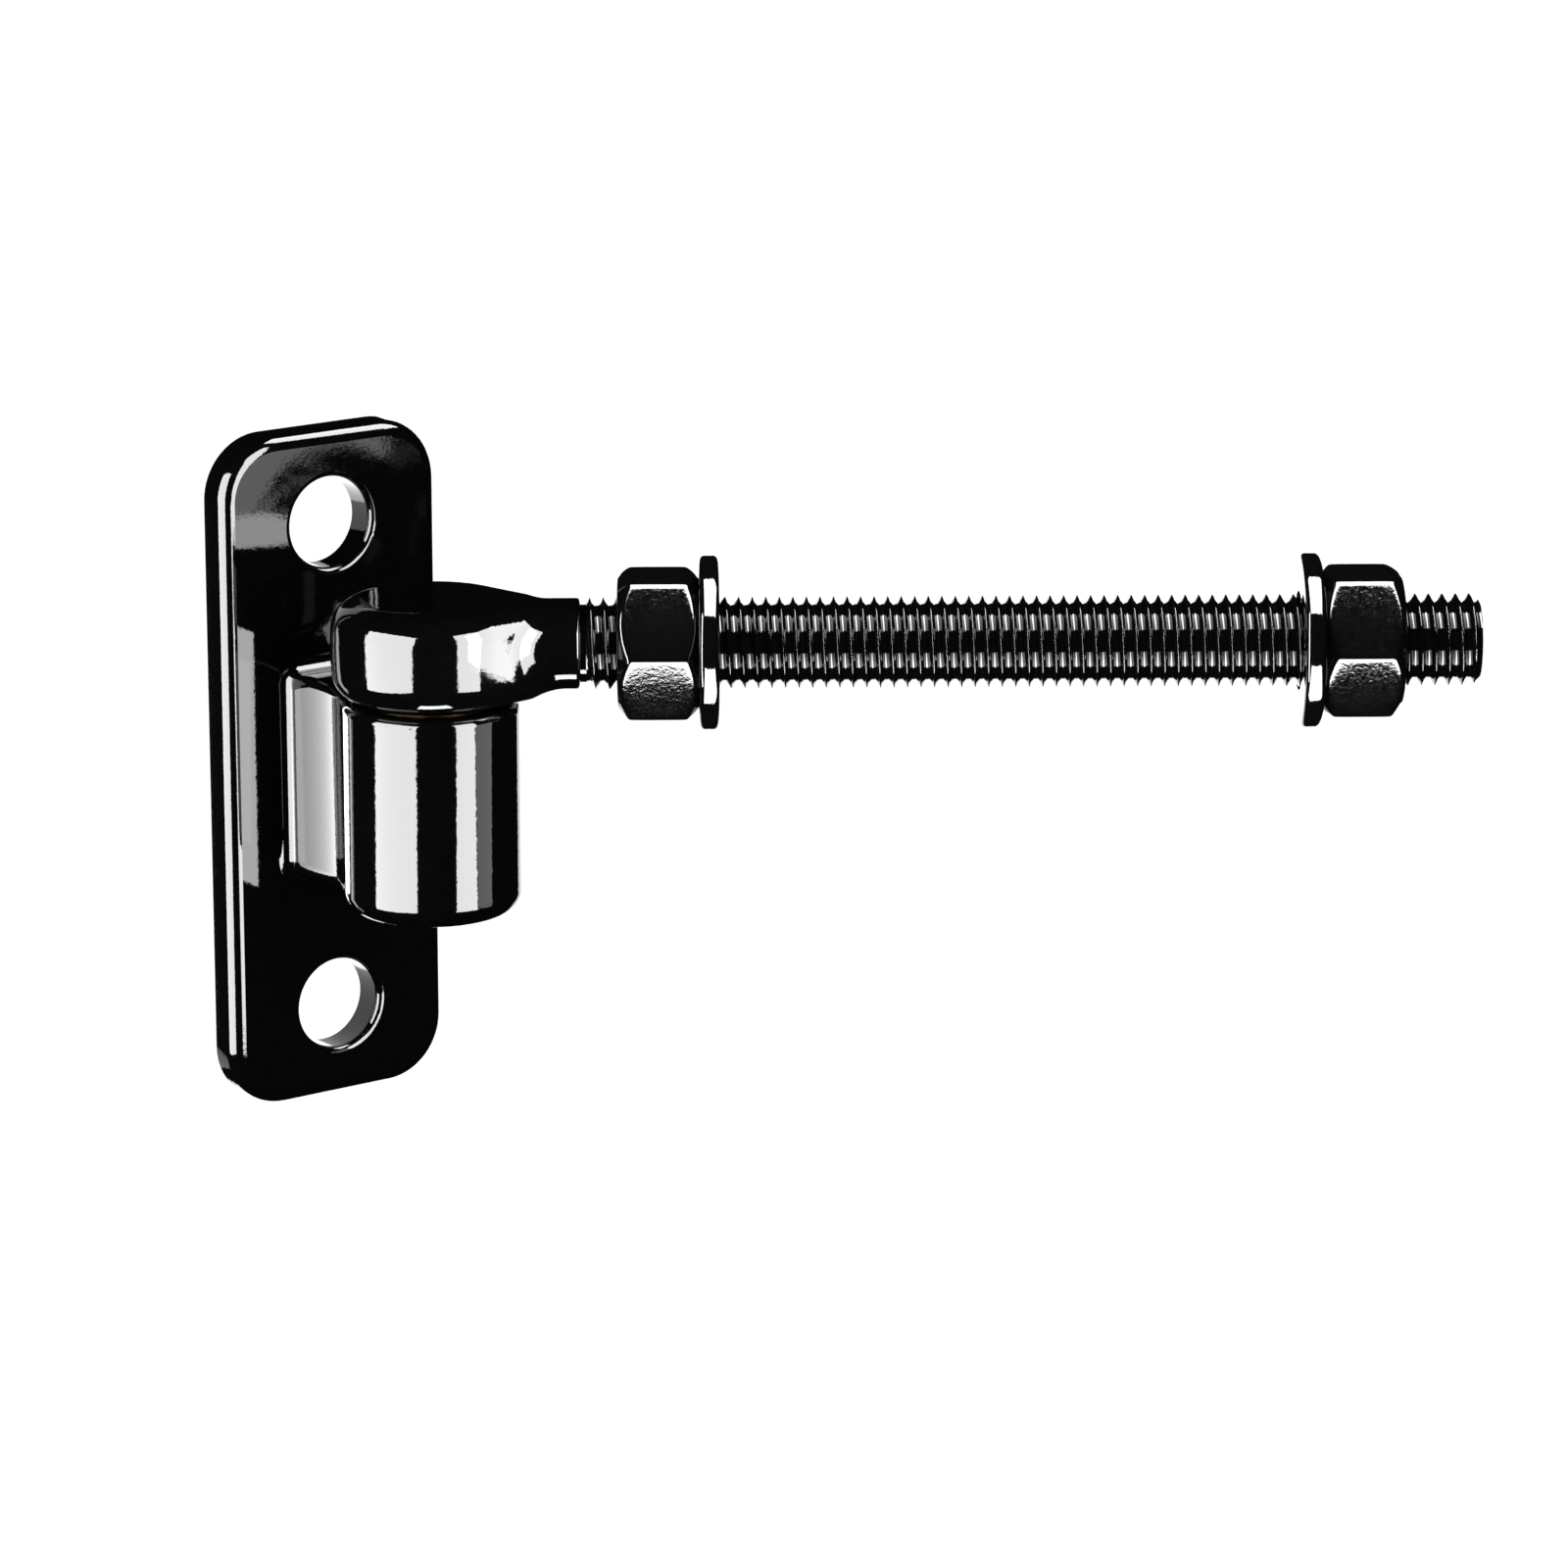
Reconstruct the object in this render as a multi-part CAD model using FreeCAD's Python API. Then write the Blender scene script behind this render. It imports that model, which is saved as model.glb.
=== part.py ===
import FreeCAD, Part
import math
import os

V = FreeCAD.Vector

# Adjustable gate hinge, in millimetres.
# The origin is the centre of the mounting plate's back face, which lies against the post at Y = 0.
# X runs along the plate's width, -Y points away from the post and Z is up.

# Mounting plate
PLATE_WIDTH = 44.0
PLATE_HEIGHT = 120.0
PLATE_THICKNESS = 6.0
PLATE_CORNER_RADIUS = 11.0
PLATE_EDGE_RADIUS = 2.5
HOLE_DIAMETER = 16.0
HOLE_SPACING = 87.0
HOLE_RIM_RADIUS = 1.2

# Barrel and the web that carries it
BARREL_DIAMETER = 30.5
BARREL_HEIGHT = 36.9
BARREL_TOP = 18.0
BARREL_STANDOFF = 31.0
BARREL_TOP_RADIUS = 1.5
BARREL_BOTTOM_RADIUS = 3.5
WEB_WAIST = 17.4
WAIST_STANDOFF = 8.5
WEB_ROOT_RADIUS = 2.5

# Pin and the bushes that it turns in
PIN_DIAMETER = 14.0
PIN_GRIP = 11.5
PIN_END_RECESS = 1.5
PIN_CHAMFER = 0.8
BUSH_WALL = 1.5
BUSH_LENGTH = 12.0
FLANGE_DIAMETER = 21.0
FLANGE_THICKNESS = 1.2
COUNTERBORE_DEPTH = 6.0
RUNNING_CLEARANCE = 0.05
FLANGE_CLEARANCE = 0.5

# Retaining ring on the pin
CIRCLIP_THICKNESS = 1.0
CIRCLIP_WIDTH = 2.2
CIRCLIP_GAP = 5.0
CIRCLIP_LUG_DIAMETER = 3.6
CIRCLIP_EYE_DIAMETER = 1.6
GROOVE_DEPTH = 0.4
GROOVE_CLEARANCE = 0.1
CIRCLIP_CLEARANCE = 0.2

# Eye bolt
EYE_DIAMETER = 34.2
EYE_HEIGHT = 17.8
EYE_EDGE_RADIUS = 5.0
EYE_GAP = 0.3
SHOULDER_RADIUS = 8.2
SHOULDER_REACH = 13.0
NECK_DIAMETER = 15.7
NECK_END = 25.6
NECK_END_CHAMFER = 0.7
NECK_BLEND_RADIUS = 10.0
ROD_RISE = 9.55
RELIEF_DIAMETER = 13.4
RELIEF_WIDTH = 1.0
ROD_DIAMETER = 15.9
ROD_LENGTH = 152.4
ROD_START_CHAMFER = 0.6
ROD_TIP_CHAMFER = 1.3
REST_ANGLE = 55.0

# Nuts and washers on the rod
NUT_ACROSS_FLATS = 23.8
NUT_THICKNESS = 13.9
NUT_FACE_DIAMETER = 22.6
NUT_CHAMFER_ANGLE = 38.0
NUT_COUNTERSINK = 0.7
WASHER_DIAMETER = 30.0
WASHER_BORE = 17.0
WASHER_THICKNESS = 3.5
WASHER_EDGE_CHAMFER = 0.7
INNER_NUT_SETBACK = 5.2
CLAMP_SPAN = 99.0

# Places worked out from the sizes above
PLATE_FRONT = -PLATE_THICKNESS
AXIS_Y = PLATE_FRONT - BARREL_STANDOFF
BARREL_BOTTOM = BARREL_TOP - BARREL_HEIGHT
COUNTERBORE_FLOOR = BARREL_BOTTOM + COUNTERBORE_DEPTH
PIN_RADIUS = PIN_DIAMETER / 2
BUSH_RADIUS = PIN_RADIUS + RUNNING_CLEARANCE + BUSH_WALL
EYE_BOTTOM = BARREL_TOP + EYE_GAP
FLANGE_SEAT = EYE_BOTTOM - FLANGE_THICKNESS
ROD_Z = EYE_BOTTOM + ROD_RISE
PIN_TOP = EYE_BOTTOM + PIN_GRIP
PIN_BOTTOM = BARREL_BOTTOM + PIN_END_RECESS
CIRCLIP_TOP = COUNTERBORE_FLOOR - FLANGE_THICKNESS - CIRCLIP_CLEARANCE
ROD_START = NECK_END + RELIEF_WIDTH
INNER_NUT_START = ROD_START + INNER_NUT_SETBACK
INNER_WASHER_START = INNER_NUT_START + NUT_THICKNESS
OUTER_WASHER_START = INNER_WASHER_START + WASHER_THICKNESS + CLAMP_SPAN
OUTER_NUT_START = OUTER_WASHER_START + WASHER_THICKNESS

# Distance within which two places count as the same
SAME_PLACE = 1e-3


def edges_at_height(shape, height):
    """Edges that lie wholly at one height."""
    return [e for e in shape.Edges if all(abs(v.Z - height) < SAME_PLACE for v in e.Vertexes)]


def edges_on_plate_front(shape):
    """Edges that lie wholly in the plate's front face."""
    return [e for e in shape.Edges if all(abs(v.Y - PLATE_FRONT) < SAME_PLACE for v in e.Vertexes)]


def revolved(profile):
    """Solid turned about the Z axis from a closed outline of (radius, height) points."""
    points = [V(r, 0, z) for r, z in profile]
    wire = Part.makePolygon(points + points[:1])
    return Part.Face(wire).revolve(V(0, 0, 0), V(0, 0, 1), 360)


def along_x(shape, distance):
    """Lays a shape made upright on Z along +X at the rod's height, a distance out from the pin."""
    placed = shape.copy()
    placed.rotate(V(0, 0, 0), V(0, 1, 0), 90)
    placed.translate(V(distance, 0, ROD_Z))
    return placed


def swung(shape):
    """Turns a shape made with the rod along +X to the rest angle from the plate's normal."""
    placed = shape.copy()
    placed.rotate(V(0, 0, 0), V(0, 0, 1), REST_ANGLE - 90)
    placed.translate(V(0, AXIS_Y, 0))
    return placed


def along_rod(shape, distance):
    """Lays a shape made upright on Z on the rod's axis, a distance out from the pin."""
    return swung(along_x(shape, distance))


def on_pin_axis(shape):
    """Moves a shape made about the origin's Z axis onto the pin's axis."""
    placed = shape.copy()
    placed.translate(V(0, AXIS_Y, 0))
    return placed


def mounting_plate():
    """Plate with round corners, a rounded front edge and two screw holes with rounded front rims."""
    plate = Part.makeBox(
        PLATE_WIDTH, PLATE_THICKNESS, PLATE_HEIGHT,
        V(-PLATE_WIDTH / 2, PLATE_FRONT, -PLATE_HEIGHT / 2))
    corners = [e for e in plate.Edges if abs(e.tangentAt(e.FirstParameter).y) > 0.5]
    plate = plate.makeFillet(PLATE_CORNER_RADIUS, corners)
    plate = plate.makeFillet(PLATE_EDGE_RADIUS, edges_on_plate_front(plate))
    for side in (-1, 1):
        hole = Part.makeCylinder(
            HOLE_DIAMETER / 2, PLATE_THICKNESS,
            V(0, PLATE_FRONT, side * HOLE_SPACING / 2), V(0, 1, 0))
        plate = plate.cut(hole)
    rims = [e for e in edges_on_plate_front(plate) if isinstance(e.Curve, Part.Circle) and e.isClosed()]
    return plate.makeFillet(HOLE_RIM_RADIUS, rims)


def web_and_barrel():
    """Barrel with the web behind it, whose hollowed flanks run tangent into the barrel's side."""
    barrel_radius = BARREL_DIAMETER / 2
    waist = WEB_WAIST / 2
    reach = BARREL_STANDOFF - WAIST_STANDOFF
    flank_radius = (reach ** 2 + waist ** 2 - barrel_radius ** 2) / (2 * (barrel_radius - waist))
    flank_x = waist + flank_radius
    embed = PLATE_THICKNESS / 2

    def flank_point(side, out):
        """Point of one flank, a distance out from the plate's front."""
        x = flank_x - math.sqrt(flank_radius ** 2 - (out - WAIST_STANDOFF) ** 2)
        return V(side * x, PLATE_FRONT - out, BARREL_BOTTOM)

    tangent_out = WAIST_STANDOFF + flank_radius * reach / (flank_radius + barrel_radius)
    nose = V(0, AXIS_Y - barrel_radius, BARREL_BOTTOM)
    left, right = [
        [flank_point(side, out) for out in (-embed, WAIST_STANDOFF, tangent_out)]
        for side in (-1, 1)]
    outline = Part.Wire([
        Part.Arc(*left).toShape(),
        Part.Arc(left[2], nose, right[2]).toShape(),
        Part.Arc(*reversed(right)).toShape(),
        Part.makeLine(right[0], left[0])])
    solid = Part.Face(outline).extrude(V(0, 0, BARREL_HEIGHT))
    for height, radius in ((BARREL_TOP, BARREL_TOP_RADIUS), (BARREL_BOTTOM, BARREL_BOTTOM_RADIUS)):
        rim = [e for e in edges_at_height(solid, height) if e.BoundBox.YLength > SAME_PLACE]
        solid = solid.makeFillet(radius, rim)
    return solid


def hinge_bracket():
    """Casting: plate, web and barrel, bored for the bushes, with a recess above and a counterbore below."""
    body = mounting_plate().fuse(web_and_barrel()).removeSplitter()
    web_side = BARREL_DIAMETER / 2
    root = [
        e for e in edges_on_plate_front(body)
        if BARREL_BOTTOM - SAME_PLACE < e.CenterOfMass.z < BARREL_TOP + SAME_PLACE
        and abs(e.CenterOfMass.x) < web_side]
    body = body.makeFillet(WEB_ROOT_RADIUS, root)
    bore = Part.makeCylinder(BUSH_RADIUS, BARREL_HEIGHT, V(0, 0, BARREL_BOTTOM))
    flange_room = FLANGE_DIAMETER / 2 + FLANGE_CLEARANCE
    counterbore = Part.makeCylinder(flange_room, COUNTERBORE_DEPTH, V(0, 0, BARREL_BOTTOM))
    recess = Part.makeCylinder(flange_room, BARREL_TOP - FLANGE_SEAT, V(0, 0, FLANGE_SEAT))
    return body.cut([on_pin_axis(cutter) for cutter in (bore, counterbore, recess)])


def flanged_bush(seat, outward):
    """Bush pressed into the barrel, with its flange lying on the seat on the outward side."""
    inside = PIN_RADIUS + RUNNING_CLEARANCE
    flange_edge = seat + outward * FLANGE_THICKNESS
    sleeve_end = seat - outward * BUSH_LENGTH
    return on_pin_axis(revolved([
        (inside, sleeve_end), (BUSH_RADIUS, sleeve_end), (BUSH_RADIUS, seat),
        (FLANGE_DIAMETER / 2, seat), (FLANGE_DIAMETER / 2, flange_edge), (inside, flange_edge)]))


def hinge_pin():
    """Plain steel pin with chamfered ends and a groove for the retaining ring."""
    groove_radius = PIN_RADIUS - GROOVE_DEPTH
    groove_top = CIRCLIP_TOP + GROOVE_CLEARANCE
    groove_bottom = CIRCLIP_TOP - CIRCLIP_THICKNESS - GROOVE_CLEARANCE
    end_radius = PIN_RADIUS - PIN_CHAMFER
    return on_pin_axis(revolved([
        (0, PIN_BOTTOM), (end_radius, PIN_BOTTOM), (PIN_RADIUS, PIN_BOTTOM + PIN_CHAMFER),
        (PIN_RADIUS, groove_bottom), (groove_radius, groove_bottom), (groove_radius, groove_top),
        (PIN_RADIUS, groove_top), (PIN_RADIUS, PIN_TOP - PIN_CHAMFER),
        (end_radius, PIN_TOP), (0, PIN_TOP)]))


def pin_circlip():
    """Retaining ring: an open spring-steel ring with a lug and a plier eye at each side of its gap."""
    inside = PIN_RADIUS - GROOVE_DEPTH
    outside = inside + CIRCLIP_WIDTH
    base = CIRCLIP_TOP - CIRCLIP_THICKNESS
    lug_radius = CIRCLIP_LUG_DIAMETER / 2
    lug_reach = inside + lug_radius
    lug_y = CIRCLIP_GAP / 2 + lug_radius
    lug_x = math.sqrt(lug_reach ** 2 - lug_y ** 2)
    ring = Part.makeCylinder(outside, CIRCLIP_THICKNESS, V(0, 0, base))
    gap = Part.makeBox(outside, CIRCLIP_GAP, CIRCLIP_THICKNESS, V(0, -CIRCLIP_GAP / 2, base))
    places = [V(lug_x, side * lug_y, base) for side in (-1, 1)]
    lugs = [Part.makeCylinder(lug_radius, CIRCLIP_THICKNESS, place) for place in places]
    eyes = [Part.makeCylinder(CIRCLIP_EYE_DIAMETER / 2, CIRCLIP_THICKNESS, place) for place in places]
    shaft = Part.makeCylinder(inside, CIRCLIP_THICKNESS, V(0, 0, base))
    return swung(ring.cut(gap).fuse(lugs).cut([shaft] + eyes).removeSplitter())


def eye_blank():
    """Eye seen from above as a drop, round at the pin and drawn out to the shoulder, with pillowed edges."""
    radius = EYE_DIAMETER / 2
    lean = math.asin((radius - SHOULDER_RADIUS) / SHOULDER_REACH)

    def on_circle(size, centre_x, angle):
        """Point of a circle at the eye's underside, at an angle from the line across the rod."""
        return V(centre_x + size * math.sin(angle), size * math.cos(angle), EYE_BOTTOM)

    round_side = [on_circle(radius, 0, a) for a in (lean, -math.pi / 2, math.pi - lean)]
    shoulder = [on_circle(SHOULDER_RADIUS, SHOULDER_REACH, a) for a in (lean, math.pi / 2, math.pi - lean)]
    outline = Part.Wire([
        Part.Arc(*round_side).toShape(),
        Part.makeLine(round_side[2], shoulder[2]),
        Part.Arc(*reversed(shoulder)).toShape(),
        Part.makeLine(shoulder[0], round_side[0])])
    blank = Part.Face(outline).extrude(V(0, 0, EYE_HEIGHT))
    rims = edges_at_height(blank, EYE_BOTTOM) + edges_at_height(blank, EYE_BOTTOM + EYE_HEIGHT)
    return blank.makeFillet(EYE_EDGE_RADIUS, rims)


def eye_bolt():
    """Forging: a drop-shaped eye, bored below for the pin, that blends through a neck into the rod."""
    neck_radius = NECK_DIAMETER / 2
    rod_radius = ROD_DIAMETER / 2
    neck = along_x(revolved([
        (0, 0), (neck_radius, 0), (neck_radius, NECK_END - NECK_END_CHAMFER),
        (neck_radius - NECK_END_CHAMFER, NECK_END), (0, NECK_END)]), 0)
    forging = eye_blank().fuse(neck)

    def meets_neck(edge):
        """Whether an edge bends round the neck's side, inside its chamfered end."""
        on_side = all(
            abs(math.hypot(p.y, p.z - ROD_Z) - neck_radius) < SAME_PLACE for p in edge.discretize(5))
        inside = edge.BoundBox.XMax < NECK_END - NECK_END_CHAMFER - SAME_PLACE
        return on_side and inside and not isinstance(edge.Curve, Part.Line)

    forging = forging.makeFillet(NECK_BLEND_RADIUS, [e for e in forging.Edges if meets_neck(e)])
    relief = along_x(Part.makeCylinder(RELIEF_DIAMETER / 2, ROD_START), 0)
    rod = along_x(revolved([
        (0, 0), (rod_radius - ROD_START_CHAMFER, 0), (rod_radius, ROD_START_CHAMFER),
        (rod_radius, ROD_LENGTH - ROD_TIP_CHAMFER), (rod_radius - ROD_TIP_CHAMFER, ROD_LENGTH),
        (0, ROD_LENGTH)]), ROD_START)
    socket = Part.makeCylinder(PIN_RADIUS, PIN_GRIP, V(0, 0, EYE_BOTTOM))
    return swung(forging.fuse([relief, rod]).removeSplitter().cut(socket))


def hexagon_nut():
    """Hexagon nut standing on Z, both faces turned down to a cone, bore countersunk at both ends."""
    corner_radius = NUT_ACROSS_FLATS / math.sqrt(3)
    angles = [math.radians(90 + 60 * k) for k in range(7)]
    corners = [V(corner_radius * math.cos(a), corner_radius * math.sin(a), 0) for a in angles]
    prism = Part.Face(Part.makePolygon(corners)).extrude(V(0, 0, NUT_THICKNESS))
    face_radius = NUT_FACE_DIAMETER / 2
    drop = (corner_radius - face_radius) * math.tan(math.radians(NUT_CHAMFER_ANGLE))
    cones = revolved([
        (0, 0), (face_radius, 0), (corner_radius, drop), (corner_radius, NUT_THICKNESS - drop),
        (face_radius, NUT_THICKNESS), (0, NUT_THICKNESS)])
    bore_radius = ROD_DIAMETER / 2 + RUNNING_CLEARANCE
    rim_radius = bore_radius + NUT_COUNTERSINK
    bore = revolved([
        (0, 0), (rim_radius, 0), (bore_radius, NUT_COUNTERSINK),
        (bore_radius, NUT_THICKNESS - NUT_COUNTERSINK), (rim_radius, NUT_THICKNESS), (0, NUT_THICKNESS)])
    return prism.common(cones).cut(bore)


def plain_washer():
    """Flat washer standing on Z, with its outer edges broken."""
    bore = WASHER_BORE / 2
    rim = WASHER_DIAMETER / 2
    face = rim - WASHER_EDGE_CHAMFER
    return revolved([
        (bore, 0), (face, 0), (rim, WASHER_EDGE_CHAMFER), (rim, WASHER_THICKNESS - WASHER_EDGE_CHAMFER),
        (face, WASHER_THICKNESS), (bore, WASHER_THICKNESS)])


def build():
    """Every piece by its name."""
    return {
        "hinge_bracket": hinge_bracket(),
        "upper_bush": flanged_bush(FLANGE_SEAT, 1),
        "lower_bush": flanged_bush(COUNTERBORE_FLOOR, -1),
        "hinge_pin": hinge_pin(),
        "pin_circlip": pin_circlip(),
        "eye_bolt": eye_bolt(),
        "inner_nut": along_rod(hexagon_nut(), INNER_NUT_START),
        "inner_washer": along_rod(plain_washer(), INNER_WASHER_START),
        "outer_washer": along_rod(plain_washer(), OUTER_WASHER_START),
        "outer_nut": along_rod(hexagon_nut(), OUTER_NUT_START),
    }


os.makedirs("parts", exist_ok=True)
for name, shape in build().items():
    shape.exportStep(f"parts/{name}.step")
    print(name, shape.ShapeType, len(shape.Solids), shape.isValid(), round(shape.Volume), len(shape.Faces))
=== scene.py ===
import math

import bmesh
import bpy
import numpy as np
from mathutils import Matrix, Vector


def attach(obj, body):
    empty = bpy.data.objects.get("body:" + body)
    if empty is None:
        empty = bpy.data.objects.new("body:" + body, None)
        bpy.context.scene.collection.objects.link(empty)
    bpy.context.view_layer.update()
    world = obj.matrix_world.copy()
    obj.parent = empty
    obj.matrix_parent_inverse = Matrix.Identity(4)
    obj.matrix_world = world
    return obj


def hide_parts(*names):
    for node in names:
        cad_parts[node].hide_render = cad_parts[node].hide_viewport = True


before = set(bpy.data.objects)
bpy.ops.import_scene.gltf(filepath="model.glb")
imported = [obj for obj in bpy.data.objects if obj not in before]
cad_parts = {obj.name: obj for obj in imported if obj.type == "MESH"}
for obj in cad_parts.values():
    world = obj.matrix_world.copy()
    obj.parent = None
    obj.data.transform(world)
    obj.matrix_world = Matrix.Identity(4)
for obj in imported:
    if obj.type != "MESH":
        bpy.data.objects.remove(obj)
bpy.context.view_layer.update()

# Hinge bracket: one steel casting of mounting plate, web and barrel, fettled smooth on its edges.
# It is phosphated and powder coated in gloss black, and two bolts through the plate hold it to the post.
# Its sizes, and those of all pieces after it, are in millimetres.

MM = 0.001
PEEL_WIDTH = 2.0
PEEL_HEIGHT = 0.004
GRAIN_WIDTH = 0.7
GRAIN_HEIGHT = 0.009
FACET_GAP = 0.002


def linear(colour):
    """Linear RGBA of an sRGB hex colour: ((c + 0.055) / 1.055) to the power 2.4, or c / 12.92 if dark."""
    channels = np.array([int(colour[i:i + 2], 16) for i in (1, 3, 5)]) / 255
    lit = np.where(channels <= 0.04045, channels / 12.92, ((channels + 0.055) / 1.055) ** 2.4)
    return [*lit.tolist(), 1.0]


def add_node(tree, kind, inputs=(), **settings):
    """Adds a node with its settings; an input given a socket is linked to it, and any other is set."""
    node = tree.nodes.new(kind)
    for name, value in settings.items():
        setattr(node, name, value)
    for name, value in dict(inputs).items():
        if isinstance(value, bpy.types.NodeSocket):
            tree.links.new(value, node.inputs[name])
        else:
            node.inputs[name].default_value = value
    return node


def new_material(name):
    """An empty node material, with its tree and its surface socket."""
    material = bpy.data.materials.new(name)
    material.use_nodes = True
    tree = material.node_tree
    tree.nodes.clear()
    return material, tree, add_node(tree, "ShaderNodeOutputMaterial").inputs["Surface"]


# Gloss black polyester powder coat, baked on: a smooth dark film about 0.08 mm thick.
# The eye sees crisp reflections with grainy borders, from its orange peel and a finer grain.
powder_coat, tree, surface = new_material("gloss_black_powder_coat")
place = add_node(tree, "ShaderNodeTexCoord").outputs["Object"]
peel = add_node(tree, "ShaderNodeTexNoise", {
    "Vector": place, "Scale": 1 / (PEEL_WIDTH * MM), "Detail": 1.0})
grain = add_node(tree, "ShaderNodeTexNoise", {
    "Vector": place, "Scale": 1 / (GRAIN_WIDTH * MM), "Detail": 2.0, "Roughness": 0.6})
peel_bump = add_node(tree, "ShaderNodeBump", {
    "Strength": 1.0, "Distance": PEEL_HEIGHT * MM, "Height": peel.outputs["Fac"]})
grain_bump = add_node(tree, "ShaderNodeBump", {
    "Strength": 1.0, "Distance": GRAIN_HEIGHT * MM, "Height": grain.outputs["Fac"],
    "Normal": peel_bump.outputs["Normal"]})
film = add_node(tree, "ShaderNodeMix", {
    "Factor": peel.outputs["Fac"], "A": linear("#010101"), "B": linear("#020202")}, data_type="RGBA")
gloss = add_node(tree, "ShaderNodeMapRange", {
    "Value": grain.outputs["Fac"], "From Min": 0.3, "From Max": 0.7, "To Min": 0.03, "To Max": 0.06})
coat = add_node(tree, "ShaderNodeBsdfPrincipled", {
    "Base Color": film.outputs["Result"], "Roughness": gloss.outputs["Result"], "IOR": 1.5,
    "Normal": grain_bump.outputs["Normal"]})
tree.links.new(coat.outputs["BSDF"], surface)


def finish_node(name, material):
    """Gives a CAD node its finish, and joins its facets so that light runs smoothly over rounded edges."""
    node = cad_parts[name]
    node.data.materials.clear()
    node.data.materials.append(material)
    joined = node.modifiers.new("joined_facets", "WELD")
    joined.merge_threshold = FACET_GAP * MM
    even = node.modifiers.new("even_light", "WEIGHTED_NORMAL")
    even.keep_sharp = True


finish_node("hinge_bracket", powder_coat)

# Bushes: flanged sleeves of sintered bronze, pressed into the barrel from above and below.
# The upper flange carries the eye and shows as a thin line of brown metal between eye and barrel.

PORE_WIDTH = 0.4
PORE_DEPTH = 0.006
OIL_WIDTH = 4.0

# Oil-soaked sintered bronze is a dull, patchy brown. Its pores are drawn coarser than life, so they show.
bronze, tree, surface = new_material("sintered_bronze")
place = add_node(tree, "ShaderNodeTexCoord").outputs["Object"]
pores = add_node(tree, "ShaderNodeTexNoise", {
    "Vector": place, "Scale": 1 / (PORE_WIDTH * MM), "Detail": 2.0})
oil = add_node(tree, "ShaderNodeTexNoise", {
    "Vector": place, "Scale": 1 / (OIL_WIDTH * MM), "Detail": 2.0})
tone = add_node(tree, "ShaderNodeMix", {
    "Factor": oil.outputs["Fac"], "A": linear("#6b5232"), "B": linear("#8f7146")}, data_type="RGBA")
rough = add_node(tree, "ShaderNodeMapRange", {
    "Value": pores.outputs["Fac"], "To Min": 0.28, "To Max": 0.5})
pitted = add_node(tree, "ShaderNodeBump", {
    "Distance": PORE_DEPTH * MM, "Height": pores.outputs["Fac"]})
metal = add_node(tree, "ShaderNodeBsdfPrincipled", {
    "Base Color": tone.outputs["Result"], "Metallic": 1.0, "Roughness": rough.outputs["Result"],
    "Normal": pitted.outputs["Normal"]})
tree.links.new(metal.outputs["BSDF"], surface)
for bush in ("upper_bush", "lower_bush"):
    finish_node(bush, bronze)

# Hinge pin: ground steel, pressed into the eye from below and turning in the bushes.
# A black spring-steel ring in its groove keeps it from lifting out of the barrel.

LAY_LENGTH = 4.0
LAY_WIDTH = 0.25
LAY_DEPTH = 0.0015
CRYSTAL_WIDTH = 0.3

# Ground steel is bright, with a fine lay round the pin. The lay is drawn coarser than life, so it shows.
ground_steel, tree, surface = new_material("ground_steel")
place = add_node(tree, "ShaderNodeTexCoord").outputs["Object"]
stretched = add_node(tree, "ShaderNodeMapping", {
    "Vector": place, "Scale": [1 / (size * MM) for size in (LAY_LENGTH, LAY_LENGTH, LAY_WIDTH)]})
lay = add_node(tree, "ShaderNodeTexNoise", {
    "Vector": stretched.outputs["Vector"], "Scale": 1.0, "Detail": 3.0})
tone = add_node(tree, "ShaderNodeMix", {
    "Factor": lay.outputs["Fac"], "A": linear("#86878a"), "B": linear("#a9aaac")}, data_type="RGBA")
rough = add_node(tree, "ShaderNodeMapRange", {
    "Value": lay.outputs["Fac"], "To Min": 0.18, "To Max": 0.36})
scored = add_node(tree, "ShaderNodeBump", {
    "Distance": LAY_DEPTH * MM, "Height": lay.outputs["Fac"]})
metal = add_node(tree, "ShaderNodeBsdfPrincipled", {
    "Base Color": tone.outputs["Result"], "Metallic": 1.0, "Roughness": rough.outputs["Result"],
    "Normal": scored.outputs["Normal"]})
tree.links.new(metal.outputs["BSDF"], surface)
finish_node("hinge_pin", ground_steel)

# Phosphated spring steel is a dull dark grey. Its crystals are drawn coarser than life, so they show.
spring_steel, tree, surface = new_material("phosphated_spring_steel")
place = add_node(tree, "ShaderNodeTexCoord").outputs["Object"]
crystals = add_node(tree, "ShaderNodeTexNoise", {
    "Vector": place, "Scale": 1 / (CRYSTAL_WIDTH * MM), "Detail": 2.0})
tone = add_node(tree, "ShaderNodeMix", {
    "Factor": crystals.outputs["Fac"], "A": linear("#1c1c1e"), "B": linear("#34343a")}, data_type="RGBA")
rough = add_node(tree, "ShaderNodeMapRange", {
    "Value": crystals.outputs["Fac"], "To Min": 0.35, "To Max": 0.6})
metal = add_node(tree, "ShaderNodeBsdfPrincipled", {
    "Base Color": tone.outputs["Result"], "Metallic": 1.0, "Roughness": rough.outputs["Result"]})
tree.links.new(metal.outputs["BSDF"], surface)
finish_node("pin_circlip", spring_steel)

# Eye bolt, forged end: a pillow-edged eye that runs through a round neck into the rod, forged in steel.
# It is coated like the bracket, and the pin is pressed into its underside.
# Top and foot are measured from the rod's axis, lengths from the pin's, and the swing from straight out.

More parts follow.
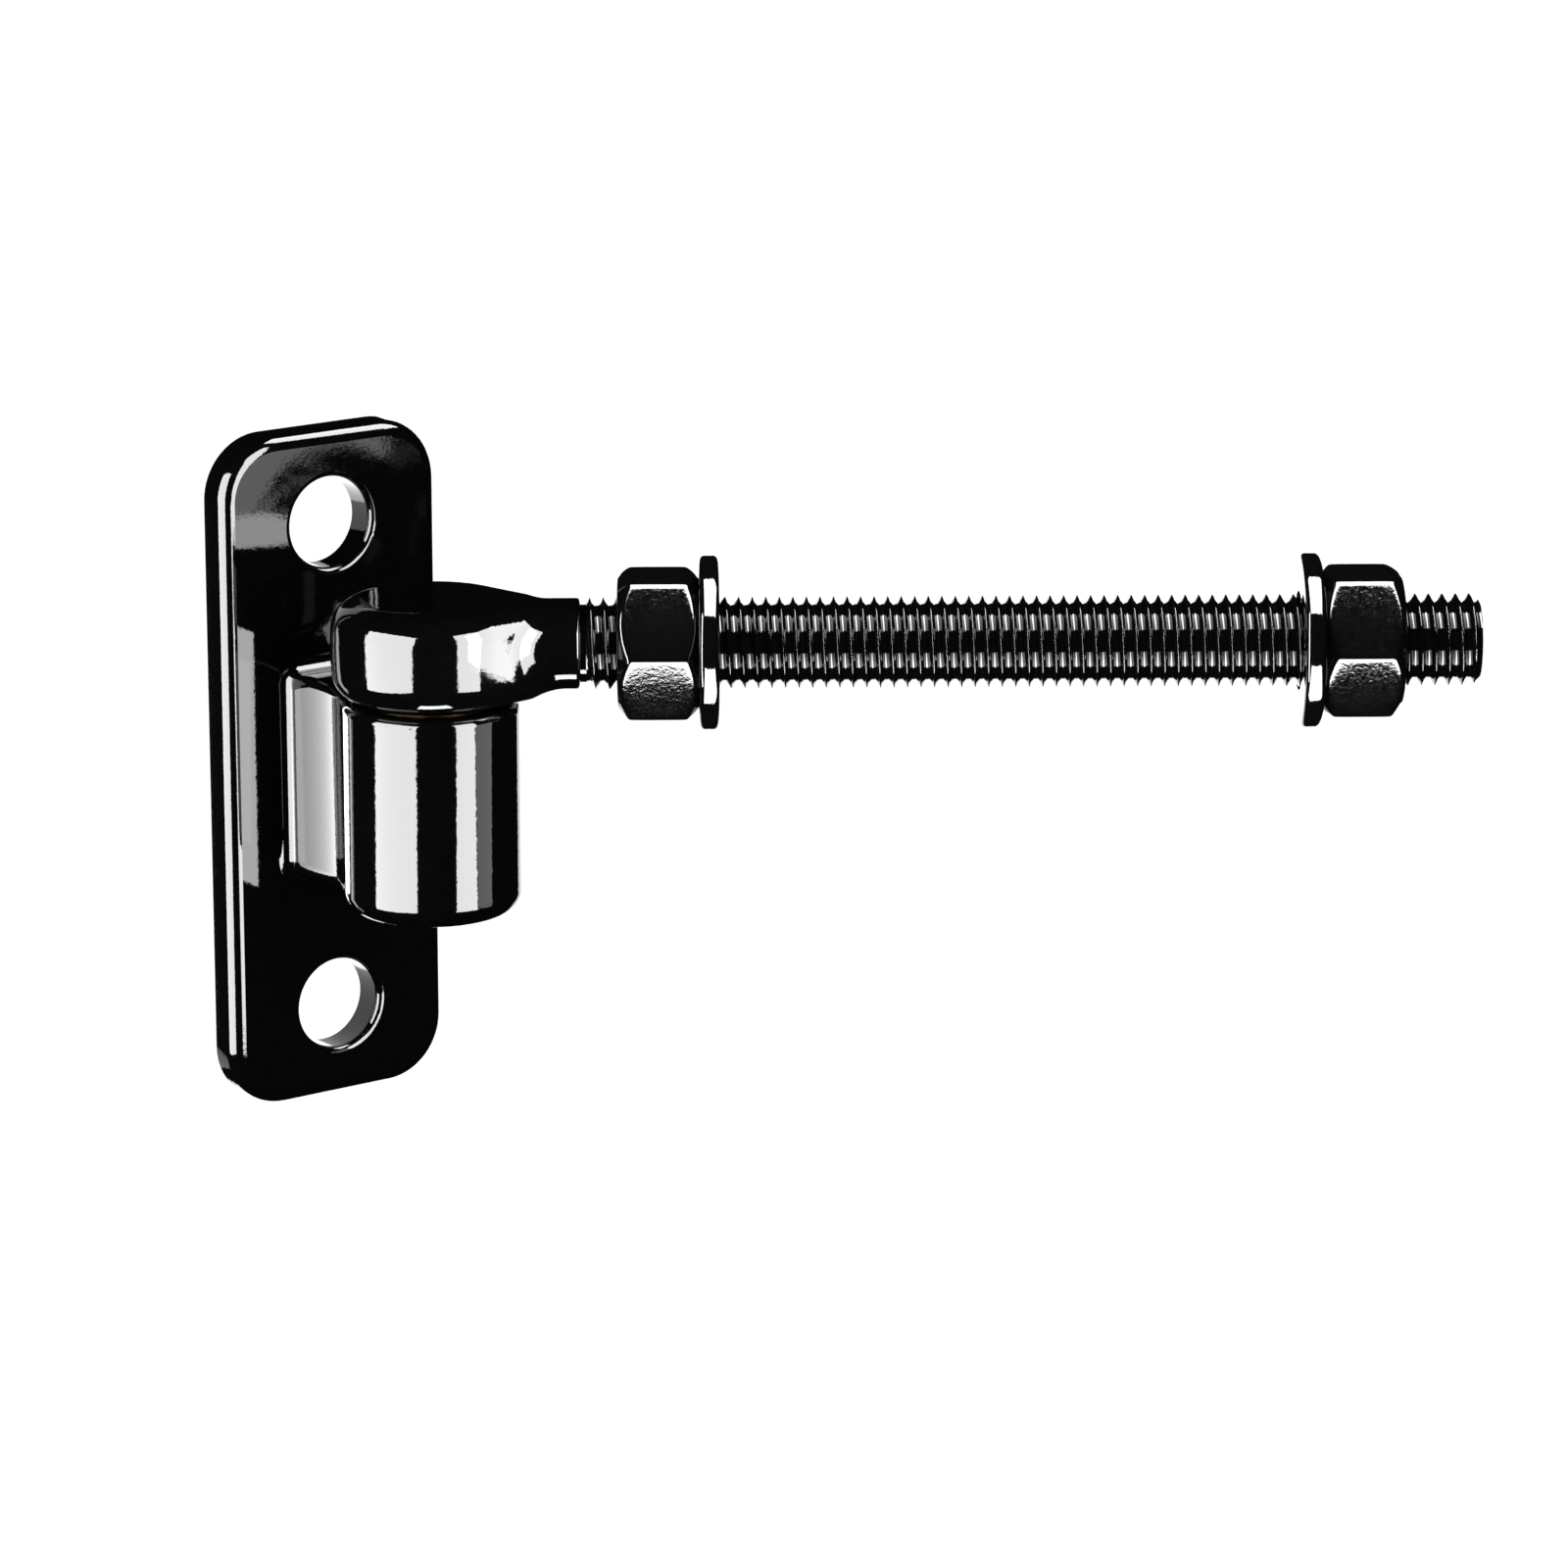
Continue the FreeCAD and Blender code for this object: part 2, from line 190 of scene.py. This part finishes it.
PIN_Y = -37.0
REST_SWING = 55.0
ROD_TURN = math.radians(REST_SWING - 90.0)
ROD_Z = 27.85
EYE_RADIUS = 17.1
EYE_TOP = 8.25
EYE_FOOT = -9.55
EYE_EDGE = 5.0
DRAFT_RADIUS = 70.0
SHOULDER_RADIUS = 8.2
SHOULDER_REACH = 13.0
BLEND = 10.0
NECK_RADIUS = 7.85
NECK_END = 25.6
NECK_EDGE = 0.7
RELIEF_RADIUS = 6.7
RELIEF_LENGTH = 1.0
ROD_START = NECK_END + RELIEF_LENGTH
SEAM_GAP = 0.0001
SLOPE_STEP = 0.0001


def grid_faces(rows, columns, around):
    """Corners of the face between each four grid neighbours; around, the last column meets the first."""
    index = np.arange(rows * columns).reshape(rows, columns)
    if around:
        index = np.concatenate([index, index[:, :1]], 1)
    return np.stack([index[:-1, :-1], index[:-1, 1:], index[1:, 1:], index[1:, :-1]], -1).reshape(-1, 4)


def skin(name, points, material, body, around=True, crease=40.0):
    """Closed mesh over a grid of points, with the rod along X and the pin along Z through the origin: the
    grid is turned to the rod's rest angle and set on the pin, and points that coincide are merged."""
    x, y, z = points.reshape(-1, 3).T
    c, s = math.cos(ROD_TURN), math.sin(ROD_TURN)
    placed = np.stack([x * c - y * s, x * s + y * c + PIN_Y, z], 1) * MM
    mesh = bpy.data.meshes.new(name)
    mesh.from_pydata(placed, [], grid_faces(*points.shape[:2], around))
    shell = bmesh.new()
    shell.from_mesh(mesh)
    bmesh.ops.remove_doubles(shell, verts=shell.verts, dist=SEAM_GAP * MM)
    bmesh.ops.dissolve_degenerate(shell, edges=shell.edges, dist=SEAM_GAP * MM)
    bmesh.ops.recalc_face_normals(shell, faces=shell.faces)
    shell.to_mesh(mesh)
    shell.free()
    mesh.shade_smooth()
    mesh.set_sharp_from_angle(angle=math.radians(crease))
    mesh.materials.append(material)
    piece = bpy.data.objects.new(name, mesh)
    bpy.context.scene.collection.objects.link(piece)
    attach(piece, body)
    return piece


def eye_distance(points):
    """Distance to the drop-shaped eye: seen from above its core is the outline round a large and a small
    circle, cut off level above and below, and the skin lies one edge radius off that core."""
    x, y, z = np.moveaxis(points, -1, 0)
    large, small = EYE_RADIUS - EYE_EDGE, SHOULDER_RADIUS - EYE_EDGE
    lean = (large - small) / SHOULDER_REACH
    level = math.sqrt(1 - lean ** 2)
    side = lean * x + level * np.abs(y) - large
    along = level * x - lean * np.abs(y)
    out = np.where(along > level * SHOULDER_REACH, np.hypot(x - SHOULDER_REACH, y) - small, side)
    out = np.where(along < 0, np.hypot(x, y) - large, out)
    up = np.maximum(z - (EYE_TOP - EYE_EDGE), EYE_FOOT + EYE_EDGE - z)
    outside = np.hypot(np.maximum(out, 0), np.maximum(up, 0))
    return outside + np.minimum(np.maximum(out, up), 0) - EYE_EDGE


def distance_along(start, ray, level, furthest, halvings=44):
    """How far along each ray the eye's distance reaches a level, by halving the interval many times."""
    near, far = np.zeros(ray.shape[:-1]), np.full(ray.shape[:-1], furthest)
    for _ in range(halvings):
        middle = (near + far) / 2
        inside = eye_distance(start + ray * middle[..., None]) < level
        near, far = np.where(inside, middle, near), np.where(inside, far, middle)
    return near[..., None]


def forged_eye(columns=192, eye_rows=120, blend_rows=28, edge_rows=7):
    """One skin from the eye's far side to the neck's end, round the rod's axis. Each meridian starts as the
    meeting of the eye with a ray from its middle, crosses the hollow left by a ball that rolls on eye and
    neck, and ends along the neck: the ball's centre lies its radius off both, so it is one blend radius out
    from the neck. The eye's sides are drawn in by the forging draft, with the square of the height over the
    eye's middle, and the draft fades out towards the hollow."""
    turn = np.linspace(0, 2 * np.pi, columns, endpoint=False)
    ring = np.stack([np.zeros(columns), np.sin(turn), np.cos(turn)], 1)
    ball = ring * (NECK_RADIUS + BLEND)
    outward = np.broadcast_to([1.0, 0, 0], ball.shape)
    ball = ball + outward * distance_along(ball, outward, BLEND, 2 * (EYE_RADIUS + SHOULDER_REACH))
    steps = SLOPE_STEP * np.eye(3)
    slope = [(eye_distance(ball + step) - eye_distance(ball - step)) / (2 * SLOPE_STEP) for step in steps]
    on_eye = ball - BLEND * np.stack(slope, 1)
    on_neck = ring * NECK_RADIUS + ball * [1, 0, 0]

    polar = np.arctan2(np.hypot(on_eye[:, 1], on_eye[:, 2]), on_eye[:, 0])
    drift = (np.arctan2(on_eye[:, 1], on_eye[:, 2]) - turn + np.pi) % (2 * np.pi) - np.pi
    share = np.linspace(0, 1, eye_rows)[:, None]
    angle = np.pi + (polar - np.pi) * share
    bearing = turn + drift * share ** 2
    ray = np.stack([np.cos(angle), np.sin(angle) * np.sin(bearing), np.sin(angle) * np.cos(bearing)], -1)
    eye = ray * distance_along(np.zeros(3), ray, 0.0, 2 * EYE_RADIUS)
    draft = (eye[..., 2] - (EYE_TOP + EYE_FOOT) / 2) ** 2 / (2 * DRAFT_RADIUS) * (1 - share ** 4)
    eye[..., :2] *= (1 - draft / EYE_RADIUS)[..., None]

    start, end = (on_eye - ball) / BLEND, (on_neck - ball) / BLEND
    sweep = np.arccos(np.sum(start * end, 1))[None, :, None]
    share = np.linspace(0, 1, blend_rows)[1:, None, None]
    arc = (np.sin((1 - share) * sweep) * start + np.sin(share * sweep) * end) / np.sin(sweep)
    hollow = ball + BLEND * arc

    quarter = np.linspace(0, np.pi / 2, edge_rows)
    edge_x = NECK_END - NECK_EDGE * (1 - np.sin(quarter))
    edge_r = NECK_RADIUS - NECK_EDGE * (1 - np.cos(quarter))
    along = np.concatenate([edge_x, [NECK_END, ROD_START, ROD_START]])
    radius = np.concatenate([edge_r, [RELIEF_RADIUS, RELIEF_RADIUS, 0]])
    neck = ring * radius[:, None, None]
    neck[..., 0] = along[:, None]
    return np.concatenate([eye, hollow, neck]) + [0, 0, ROD_Z]


eye_piece = skin("forged_eye", forged_eye(), powder_coat, "eye_bolt")
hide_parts("eye_bolt")

# Eye bolt, threaded rod: a rolled thread of 11 turns to the inch on a 15.9 mm rod, coated like the eye.
# The coating levels out its roots and leaves its crests nearly sharp, and both its ends are chamfered.
# Crest and root are rounded and filled by shares of the sharp thread's height.

THREAD_PITCH = 25.4 / 11
THREAD_RADIUS = 7.95
THREAD_DEPTH = 1.45
THREAD_CREASE = 70.0
CREST_ROUND = 0.10
ROOT_FILL = 0.28
ROOT_ROUND = 0.06
ROW_SHARES = (0, 0.03, 0.07, 0.13, 0.21, 0.30, 0.34, 0.38, 0.43, 0.5)
ROD_LENGTH = 152.4
START_CHAMFER = 0.6
TIP_CHAMFER = 1.3


def about_rod(along, radius, turn):
    """Points at a length along the rod, a radius and a turn round it: (l, r cos t, axis + r sin t)."""
    along, radius, turn = np.broadcast_arrays(along, radius, turn)
    return np.stack([along, radius * np.cos(turn), ROD_Z + radius * np.sin(turn)], -1)


def thread_height(phase):
    """Height over the root, from 0 to 1, for the share of a pitch past the crest: straight flanks run down
    to a level root, and hyperbolas in place of the corners round the crest and the foot of each flank."""
    past = 1 - np.abs(2 * (phase % 1) - 1)
    rise = 1 - np.hypot(past, CREST_ROUND) + CREST_ROUND - ROOT_FILL
    crest = 1 - ROOT_FILL
    return (rise + np.hypot(rise, ROOT_ROUND)) / (crest + math.hypot(crest, ROOT_ROUND))


def threaded_rod(columns=64):
    """Radius of the rod over its length and turn: the height at the length less the helix's advance at that
    turn, and never more than the chamfer cones. The rows are sheared along the helix, so each has one
    height. They lie at set shares of a pitch, closer at the crests and at the flanks' feet, and the last
    column lies on the first, one pitch further along."""
    turn = np.linspace(0, 2 * np.pi, columns + 1)
    down = np.array(ROW_SHARES)
    shares = np.concatenate([down, 1 - down[-2:0:-1]])
    turns = np.arange(-1, math.ceil(ROD_LENGTH / THREAD_PITCH) + 1)
    row = (turns[:, None] + shares).reshape(-1, 1)
    advance = turn / (2 * np.pi)
    length = np.clip((row + advance) * THREAD_PITCH, 0, ROD_LENGTH)
    radius = THREAD_RADIUS - THREAD_DEPTH * (1 - thread_height(length / THREAD_PITCH - advance))
    radius = np.minimum(radius, THREAD_RADIUS - START_CHAMFER + length)
    radius = np.minimum(radius, THREAD_RADIUS - TIP_CHAMFER + ROD_LENGTH - length)
    points = about_rod(ROD_START + length, radius, turn)
    caps = about_rod(points[[0, -1], :, 0], 0, turn)
    return np.concatenate([caps[:1], points, caps[1:]])


rod_piece = skin("threaded_rod", threaded_rod(), powder_coat, "eye_bolt",
                 around=False, crease=THREAD_CREASE)
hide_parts("eye_bolt")

# Nuts: two hexagon nuts of steel, 23.8 mm across flats, turned down to a cone at both faces.
# They run on the thread and lock the gate between the washers; the coating has softened their edges.

NUT_FLATS = 23.8
NUT_LENGTH = 13.9
NUT_FACE_RADIUS = 11.3
NUT_EDGE = 0.7
NUT_CONE = math.radians(38.0)
CONE_REACH = 3.0
CLEAR_OF_HEXAGON = 40.0
NUT_BORE = 8.0
NUT_SINK = 0.7
NUT_SOFTNESS = 0.16
CORNER_POWER = 110
INNER_NUT = 31.8
OUTER_NUT = 151.7


def hexagon_nut(start, columns=240, edge_rows=6, cone_rows=14, flat_rows=6):
    """Radius of the nut round its axis for each row of a cone-and-face profile: the soft minimum of that
    row's cone and of the hexagon, whose corners are rounded by adding its flats in a high power. Between
    the two cones the hexagon stands alone, and so does the round bore."""
    turn = np.linspace(0, 2 * np.pi, columns, endpoint=False)
    normals = np.radians(30 + 60 * np.arange(6))[:, None]
    lean = np.maximum(np.cos(turn - normals), 0) / (NUT_FLATS / 2)
    hexagon = np.sum(lean ** CORNER_POWER, 0) ** (-1 / CORNER_POWER)

    corner = np.linspace(0, np.pi / 2 - NUT_CONE, edge_rows)
    inset = NUT_EDGE * math.tan((np.pi / 2 - NUT_CONE) / 2)
    edge_r = NUT_FACE_RADIUS - inset + NUT_EDGE * np.sin(corner)
    edge_x = NUT_EDGE * (1 - np.cos(corner))
    cone_x = np.linspace(edge_x[-1], CONE_REACH, cone_rows)[1:]
    cone_r = edge_r[-1] + (cone_x - edge_x[-1]) / math.tan(NUT_CONE)
    end_x = np.concatenate([[NUT_SINK, 0], edge_x, cone_x])
    end_r = np.concatenate([[NUT_BORE, NUT_BORE + NUT_SINK], edge_r, cone_r])
    flat_x = np.linspace(CONE_REACH, NUT_LENGTH - CONE_REACH, flat_rows + 2)[1:-1]
    along = np.concatenate([end_x, flat_x, NUT_LENGTH - end_x[::-1]])[:, None]
    cone = np.concatenate([end_r, np.full(flat_rows, CLEAR_OF_HEXAGON), end_r[::-1]])[:, None]
    soft = (cone + hexagon) / 2 - np.hypot((cone - hexagon) / 2, NUT_SOFTNESS)
    radius = np.where(cone <= NUT_BORE + NUT_SINK, cone, soft)
    closed_rows = np.append(np.arange(len(along)), 0)
    return about_rod(start + along[closed_rows], radius[closed_rows], turn)


for name, start in (("inner_nut", INNER_NUT), ("outer_nut", OUTER_NUT)):
    nut = skin("coated_" + name, hexagon_nut(start), powder_coat, name)
    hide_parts(name)

# Washers: rings stamped from 3.5 mm steel plate, tumbled until their outer edges are round, and coated.
# Each lies against its nut and spreads the clamping force over the gate.

WASHER_RADIUS = 15.0
WASHER_BORE = 8.5
WASHER_THICKNESS = 3.5
WASHER_EDGE = 1.0
INNER_WASHER = INNER_NUT + NUT_LENGTH
OUTER_WASHER = OUTER_NUT - WASHER_THICKNESS


def stamped_washer(start, columns=192, edge_rows=9):
    """Ring turned about the rod: face, quarter round, rim, quarter round, other face and back by the bore."""
    turn = np.linspace(0, 2 * np.pi, columns, endpoint=False)
    quarter = np.linspace(0, np.pi / 2, edge_rows)
    edge_r = WASHER_RADIUS - WASHER_EDGE * (1 - np.sin(quarter))
    edge_x = WASHER_EDGE * (1 - np.cos(quarter))
    along = np.concatenate([[0], edge_x, WASHER_THICKNESS - edge_x[::-1], [WASHER_THICKNESS, 0]])
    radius = np.concatenate([[WASHER_BORE], edge_r, edge_r[::-1], [WASHER_BORE, WASHER_BORE]])
    return about_rod(start + along[:, None], radius[:, None], turn)


for name, start in (("inner_washer", INNER_WASHER), ("outer_washer", OUTER_WASHER)):
    washer = skin("coated_" + name, stamped_washer(start), powder_coat, name)
    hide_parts(name)

# Photographer's set: a seamless sweep of white paper, lit from behind, with soft boxes and small cards.
# The boxes leave dark gaps between them, which keep most of the black coating black.
# Its sizes are in metres, and the camera stands where it shows the hinge as the photograph does.

FLOOR_Z = -0.35
SWEEP_RADIUS = 6.0
SWEEP_HEIGHT = 6.0
SWEEP_BEND = 2.0
PAPER_GLOW = 1.05
BOX_TILT = 0.001
CAMERA_BEARING = math.radians(-36.076)
CAMERA_RISE = math.radians(14.699)
CAMERA_DISTANCE = 1.150667
CAMERA_AIM_RIGHT = 0.082045
CAMERA_AIM_Z = -0.004631
CAMERA_LENS = 150.0
CAMERA_SENSOR = 36.0
CAMERA_NEAR = 0.05


def sweep_profile(columns=96, bend_rows=16):
    """White sweep turned about Z: a flat floor, a quarter round up from it, a wall and a roof."""
    turn = np.linspace(0, 2 * np.pi, columns, endpoint=False)
    bend = np.linspace(0, np.pi / 2, bend_rows)
    bend_r = SWEEP_RADIUS - SWEEP_BEND * (1 - np.sin(bend))
    bend_z = SWEEP_BEND * (1 - np.cos(bend))
    radius = np.concatenate([[0], bend_r, [SWEEP_RADIUS, 0]])[:, None]
    height = np.concatenate([[0], bend_z, [SWEEP_HEIGHT, SWEEP_HEIGHT]])[:, None] + FLOOR_Z
    radius, height, turn = np.broadcast_arrays(radius, height, turn)
    return np.stack([radius * np.cos(turn), radius * np.sin(turn), height], -1)


white_paper, tree, surface = new_material("backlit_white_paper")
glow = add_node(tree, "ShaderNodeEmission", {"Color": linear("#ffffff"), "Strength": PAPER_GLOW})
tree.links.new(glow.outputs["Emission"], surface)
points = sweep_profile()
inward = grid_faces(*points.shape[:2], around=True)[:, ::-1]
paper = bpy.data.meshes.new("white_sweep")
paper.from_pydata(points.reshape(-1, 3), [], inward)
paper.materials.append(white_paper)
sweep = bpy.data.objects.new("white_sweep", paper)
bpy.context.scene.collection.objects.link(sweep)
sweep.visible_glossy = False
sweep.visible_diffuse = False
sweep.visible_shadow = False

right = Vector((math.cos(CAMERA_BEARING), math.sin(CAMERA_BEARING), 0))
front = Vector((math.sin(CAMERA_BEARING), -math.cos(CAMERA_BEARING), 0))
to_camera = front * math.cos(CAMERA_RISE) + Vector((0, 0, math.sin(CAMERA_RISE)))
aim = right * CAMERA_AIM_RIGHT + Vector((0, 0, CAMERA_AIM_Z))


def soft_box(name, place, target, width, height, watts, only=()):
    """Area light at a place, facing a target: both are metres to the right, towards the camera and up from
    the middle of the plate's back. Where pieces are named, it lights those alone. Up is tilted a little to
    the back, so that a box straight above or below has an upper edge too."""
    start, end = (right * p[0] + front * p[1] + Vector((0, 0, p[2])) for p in (place, target))
    away = (start - end).normalized()
    upward = Vector((0, 0, 1)) - front * BOX_TILT
    upward = (upward - away * upward.dot(away)).normalized()
    turned = Matrix([upward.cross(away), upward, away]).transposed().to_4x4()
    light = bpy.data.lights.new(name, "AREA")
    light.shape = "RECTANGLE"
    light.size = width
    light.size_y = height
    light.energy = watts
    box = bpy.data.objects.new(name, light)
    box.matrix_world = Matrix.Translation(start) @ turned
    box.visible_camera = False
    bpy.context.scene.collection.objects.link(box)
    if only:
        lit = bpy.data.collections.new(name + "_lights")
        for piece in only:
            lit.objects.link(piece)
        box.light_linking.receiver_collection = lit


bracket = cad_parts["hinge_bracket"]
inside_barrel = ("upper_bush", "lower_bush", "hinge_pin", "pin_circlip")
at_pin = [bracket, eye_piece] + [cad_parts[name] for name in inside_barrel]
on_rod = [bpy.data.objects[name] for name in (
    "threaded_rod", "coated_inner_nut", "coated_outer_nut", "coated_inner_washer", "coated_outer_washer")]

# Two large boxes draw the bright strips on the barrel and the patches on the eye.
soft_box("left_box", place=(-0.554, 0.567, 0.110), target=(0.022, 0.030, 0.010),
         width=0.92, height=0.94, watts=52, only=at_pin)
soft_box("right_box", place=(0.602, 0.565, 0.120), target=(0.022, 0.030, 0.010),
         width=0.41, height=0.90, watts=22, only=at_pin)

# Cards beside and below the eye light its right flank and its lower edge.
soft_box("eye_card", place=(0.120, 0.083, 0.052), target=(0.0, 0.083, 0.052),
         width=0.096, height=0.10, watts=0.58, only=[eye_piece])
soft_box("under_card", place=(0.030, 0.070, -0.150), target=(0.030, 0.070, 0.0),
         width=0.07, height=0.05, watts=0.21, only=[eye_piece])

# Dim cards in the corner of plate and web, each seen in the gloss of the other face.
soft_box("web_card", place=(-0.0077, 0.0145, -0.0035), target=(-0.0018, 0.0226, -0.0035),
         width=0.0075, height=0.037, watts=0.0048, only=[bracket])
soft_box("plate_card", place=(0.0010, 0.0209, 0.0010), target=(-0.0071, 0.0268, 0.0010),
         width=0.007, height=0.046, watts=0.0091, only=[bracket])

# A dim card to the right of the barrel, a box over the plate's top edge, and a dim card behind the plate.
soft_box("side_card", place=(0.1348, 0.071, -0.0085), target=(0.022, 0.030, -0.0085),
         width=0.047, height=0.077, watts=0.028, only=[bracket])
soft_box("plate_top", place=(0.19, -0.03, 0.29), target=(0.0, 0.0, 0.06),
         width=0.16, height=0.16, watts=1.5, only=[bracket])
soft_box("back_card", place=(-0.0135, -0.0397, -0.015), target=(0.0101, -0.0074, -0.015),
         width=0.115, height=0.13, watts=0.045, only=[bracket])

# Boxes over, under and beside the rod draw the lines of light on its thread, nuts and washers.
soft_box("top_box", place=(0.165, 0.124, 0.33), target=(0.165, 0.124, 0.0),
         width=0.30, height=0.34, watts=9.6, only=on_rod)
soft_box("floor_bounce", place=(0.165, 0.407, -0.22), target=(0.165, 0.407, 0.0),
         width=0.32, height=0.585, watts=17.6, only=on_rod)
soft_box("side_strip", place=(-0.45, 0.35, 0.03), target=(0.12, 0.03, 0.03),
         width=0.10, height=1.0, watts=25, only=on_rod)

# A wide, dim box behind the hinge shows its back.
soft_box("rear_box", place=(-0.104, -0.591, -0.20), target=(0.0, 0.0, -0.02),
         width=1.2, height=0.50, watts=4.2)

world = bpy.data.worlds.new("dark_room")
world.use_nodes = True
room = world.node_tree.nodes["Background"]
room.inputs["Color"].default_value = linear("#101010")
room.inputs["Strength"].default_value = 1.0
bpy.context.scene.world = world

lens = bpy.data.cameras.new("photo_camera")
lens.lens = CAMERA_LENS
lens.sensor_width = CAMERA_SENSOR
lens.clip_start = CAMERA_NEAR
camera = bpy.data.objects.new("photo_camera", lens)
facing = Matrix([right, to_camera.cross(right), to_camera]).transposed().to_4x4()
camera.matrix_world = Matrix.Translation(aim + to_camera * CAMERA_DISTANCE) @ facing
bpy.context.scene.collection.objects.link(camera)
bpy.context.scene.camera = camera
bpy.context.scene.view_settings.view_transform = "Standard"
